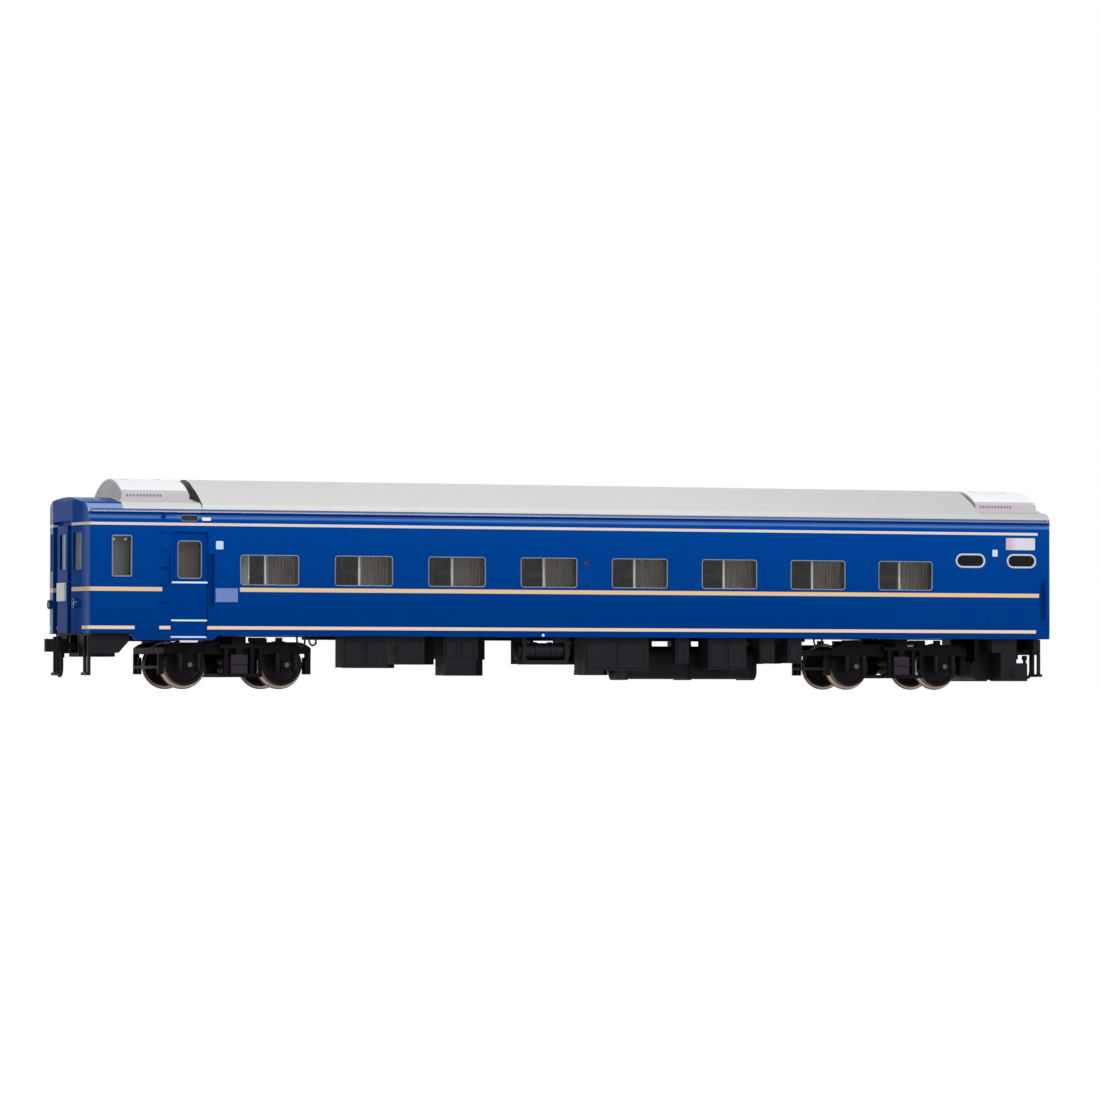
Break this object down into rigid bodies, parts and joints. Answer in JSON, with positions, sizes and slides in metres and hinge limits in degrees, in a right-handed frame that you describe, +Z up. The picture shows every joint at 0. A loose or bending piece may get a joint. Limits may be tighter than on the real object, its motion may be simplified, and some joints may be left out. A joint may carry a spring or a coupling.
{
  "type": "model railway passenger coach",
  "caption": "Scale-model sleeping coach with a guard's compartment, on two swivelling four-wheel bogies, with swinging couplers.",
  "frame": {"origin": "the middle of the coach, on the plane that the wheel flanges stand on; the rail head is 0.8 mm higher", "axes": "+X along the coach towards the washroom end, with the guard's end at -X; +Y across the coach away from the corridor side; +Z up"},
  "size_m": [0.2688, 0.0378, 0.0521],
  "materials": {
    "blue_paint": "satin blue paint over moulded plastic",
    "silver_paint": "silver-grey paint",
    "pale_silver_paint": "pale silver paint",
    "clear_glazing": "clear polished plastic",
    "white_paint": "white",
    "lamp_blue": "blue rim with a clear lens",
    "interior_beige": "moulded beige plastic",
    "curtain_brown": "moulded brown folds",
    "tyre_steel": "blackened steel with a bright tread",
    "screw_steel": "plain steel screw",
    "bellows_black": "matt black",
    "chassis_black": "black moulded plastic"
  },
  "bodies": {
    "coach_body": {"air_conditioner_front": "pale_silver_paint", "air_conditioner_rear": "pale_silver_paint", "air_reservoirs": "chassis_black", "battery_boxes": "chassis_black", "body_shell": "blue_paint", "charger_boxes": "chassis_black", "compressor_boxes": "chassis_black", "control_cabinets": "chassis_black", "corner_steps": "chassis_black", "curtains": "curtain_brown", "door_steps": "white_paint", "entrance_door_far": "blue_paint", "entrance_door_near": "blue_paint", "filter_boxes": "chassis_black", "front_brake_hoses": "chassis_black", "fuse_boxes": "chassis_black", "gangway_bellows": "bellows_black", "gangway_door_front": "blue_paint", "gangway_door_rear": "blue_paint", "glazing_far": "clear_glazing", "glazing_front_end": "clear_glazing", "glazing_near": "clear_glazing", "handrails": "blue_paint", "interior": "interior_beige", "kingpin_front": "screw_steel", "kingpin_rear": "screw_steel", "rear_brake_hoses": "chassis_black", "relay_boxes": "chassis_black", "roof": "silver_paint", "service_panels": "chassis_black", "tail_lamps": "lamp_blue", "tail_sign": "white_paint", "underframe": "chassis_black", "valve_boxes": "chassis_black", "waste_tank": "chassis_black", "water_tank": "chassis_black"},
    "front_bogie": {"front_bogie_bolster": "chassis_black", "front_bogie_brakes": "chassis_black", "front_bogie_frame": "chassis_black"},
    "front_outer_wheelset": {"front_bogie_outer_axle": "chassis_black", "front_bogie_outer_axle_tyres": "tyre_steel"},
    "front_inner_wheelset": {"front_bogie_inner_axle": "chassis_black", "front_bogie_inner_axle_tyres": "tyre_steel"},
    "rear_bogie": {"rear_bogie_bolster": "chassis_black", "rear_bogie_brakes": "chassis_black", "rear_bogie_frame": "chassis_black"},
    "rear_inner_wheelset": {"rear_bogie_inner_axle": "chassis_black", "rear_bogie_inner_axle_tyres": "tyre_steel"},
    "rear_outer_wheelset": {"rear_bogie_outer_axle": "chassis_black", "rear_bogie_outer_axle_tyres": "tyre_steel"},
    "front_coupler": {"coupler_front": "chassis_black"},
    "rear_coupler": {"coupler_rear": "chassis_black"}
  },
  "joints": [
    {"name": "front_bogie_swivel", "type": "hinge", "parent": "coach_body", "child": "front_bogie", "pos_m": [-0.08935, 0, 0.012], "axis": [0, 0, 1], "range_deg": [-9, 9]},
    {"name": "front_outer_wheelset_spin", "type": "hinge", "parent": "front_bogie", "child": "front_outer_wheelset", "pos_m": [-0.10185, 0, 0.00605], "axis": [0, 1, 0], "continuous": true},
    {"name": "front_inner_wheelset_spin", "type": "hinge", "parent": "front_bogie", "child": "front_inner_wheelset", "pos_m": [-0.07685, 0, 0.00605], "axis": [0, 1, 0], "continuous": true},
    {"name": "rear_bogie_swivel", "type": "hinge", "parent": "coach_body", "child": "rear_bogie", "pos_m": [0.08935, 0, 0.012], "axis": [0, 0, 1], "range_deg": [-9, 9]},
    {"name": "rear_inner_wheelset_spin", "type": "hinge", "parent": "rear_bogie", "child": "rear_inner_wheelset", "pos_m": [0.07685, 0, 0.00605], "axis": [0, 1, 0], "continuous": true},
    {"name": "rear_outer_wheelset_spin", "type": "hinge", "parent": "rear_bogie", "child": "rear_outer_wheelset", "pos_m": [0.10185, 0, 0.00605], "axis": [0, 1, 0], "continuous": true},
    {"name": "front_coupler_swing", "type": "hinge", "parent": "coach_body", "child": "front_coupler", "pos_m": [-0.1214, 0, 0.0108], "axis": [0, 0, 1], "range_deg": [-12, 12]},
    {"name": "rear_coupler_swing", "type": "hinge", "parent": "coach_body", "child": "rear_coupler", "pos_m": [0.1214, 0, 0.0108], "axis": [0, 0, 1], "range_deg": [-12, 12]}
  ]
}
